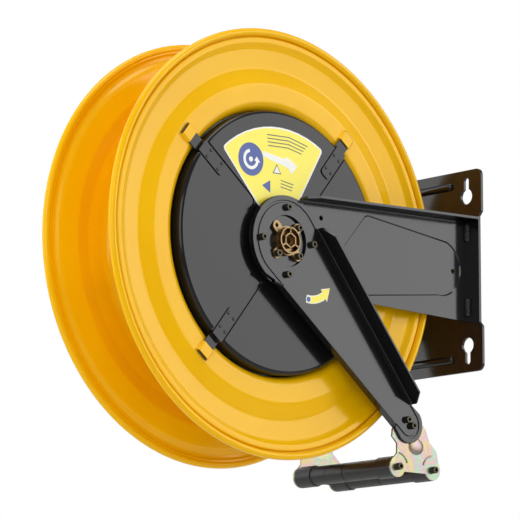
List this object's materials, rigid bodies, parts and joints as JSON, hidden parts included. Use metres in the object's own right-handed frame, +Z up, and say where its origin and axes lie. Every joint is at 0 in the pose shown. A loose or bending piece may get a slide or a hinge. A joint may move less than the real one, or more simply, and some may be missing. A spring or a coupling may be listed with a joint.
{
  "type": "spring rewind hose reel",
  "caption": "Open spring-rewind hose reel with pressed drum, two frame arms on a keyhole wall plate, swinging arm with hose rollers, ratchet and fluid swivel.",
  "frame": {"origin": "centre of the wall plate's back face, at the height of the drum axis", "axes": "+X into the wall, +Y along the drum axis from the spring side to the fluid side, +Z up"},
  "size_m": [0.5849, 0.2505, 0.5385],
  "materials": {
    "yellow_enamel": "gloss powder coat",
    "black_gloss_paint": "gloss",
    "cast_brass": "as cast",
    "black_oxide_screws": "black oxide",
    "bare_steel": "zinc plated",
    "spring_steel": "blued",
    "yellow_zinc": "yellow passivated zinc",
    "black_nylon": "moulded satin",
    "bush_polymer": "moulded",
    "seal_rubber": "matt",
    "sticker": "gloss film"
  },
  "bodies": {
    "frame": {"wall_plate": "black_gloss_paint", "front_frame_arm": "black_gloss_paint", "rear_frame_arm": "black_gloss_paint", "arm_weld_beads": "black_gloss_paint", "spring_arbor": "cast_brass", "arbor_screws": "black_oxide_screws", "thrust_washer": "bare_steel", "swivel_housing": "cast_brass", "swivel_screws": "black_oxide_screws", "pawl_pin": "bare_steel", "pawl_spring": "spring_steel"},
    "drum": {"front_flange": "yellow_enamel", "rear_flange": "yellow_enamel", "front_rim": "yellow_enamel", "rear_rim": "yellow_enamel", "drum_core": "yellow_enamel", "front_cover": "black_gloss_paint", "rear_cover": "black_gloss_paint", "front_retainers": "black_gloss_paint", "rear_retainers": "black_gloss_paint", "front_rivets": "bare_steel", "rear_rivets": "bare_steel", "spring_case": "bare_steel", "main_spring": "spring_steel", "front_bush": "bush_polymer", "inner_bush": "bush_polymer", "fluid_shaft": "bare_steel", "swivel_seals": "seal_rubber", "ratchet_wheel": "bare_steel", "hub_screws": "black_oxide_screws", "feed_pipe": "bare_steel", "hose_outlet": "bare_steel", "case_label": "sticker"},
    "guide_arm": {"front_guide_arm": "black_gloss_paint", "rear_guide_arm": "black_gloss_paint", "front_clamp_ring": "bare_steel", "rear_clamp_ring": "bare_steel", "front_clamp_screws": "black_oxide_screws", "rear_clamp_screws": "black_oxide_screws", "front_roller_bracket": "yellow_zinc", "rear_roller_bracket": "yellow_zinc", "front_bracket_screws": "black_oxide_screws", "rear_bracket_screws": "black_oxide_screws", "front_axle_screws": "black_oxide_screws", "rear_axle_screws": "black_oxide_screws", "arm_label": "sticker", "inner_roller_axle": "bare_steel", "outer_roller_axle": "bare_steel"},
    "pawl": {"ratchet_pawl": "bare_steel"},
    "inner_roller_front_body": {"inner_roller_front": "black_nylon"},
    "inner_roller_rear_body": {"inner_roller_rear": "black_nylon"},
    "outer_roller_front_body": {"outer_roller_front": "black_nylon"},
    "outer_roller_rear_body": {"outer_roller_rear": "black_nylon"}
  },
  "joints": [
    {"name": "drum_spin", "type": "hinge", "parent": "frame", "child": "drum", "pos_m": [-0.32, 0, 0], "axis": [0, 1, 0], "continuous": true},
    {"name": "guide_swing", "type": "hinge", "parent": "frame", "child": "guide_arm", "pos_m": [-0.32, 0, 0], "axis": [0, 1, 0], "range_deg": [-15, 50]},
    {"name": "pawl_swing", "type": "hinge", "parent": "frame", "child": "pawl", "pos_m": [-0.228, 0, 0.034], "axis": [0, 1, 0], "range_deg": [-11, 0], "stiffness_Nm_per_rad": 0.3, "springref_deg": 5.73},
    {"name": "inner_roller_front_spin", "type": "hinge", "parent": "guide_arm", "child": "inner_roller_front_body", "pos_m": [-0.131, 0, -0.26], "axis": [0, 1, 0], "continuous": true},
    {"name": "inner_roller_rear_spin", "type": "hinge", "parent": "guide_arm", "child": "inner_roller_rear_body", "pos_m": [-0.131, 0, -0.26], "axis": [0, 1, 0], "continuous": true},
    {"name": "outer_roller_front_spin", "type": "hinge", "parent": "guide_arm", "child": "outer_roller_front_body", "pos_m": [-0.0695, 0, -0.26], "axis": [0, 1, 0], "continuous": true},
    {"name": "outer_roller_rear_spin", "type": "hinge", "parent": "guide_arm", "child": "outer_roller_rear_body", "pos_m": [-0.0695, 0, -0.26], "axis": [0, 1, 0], "continuous": true}
  ]
}
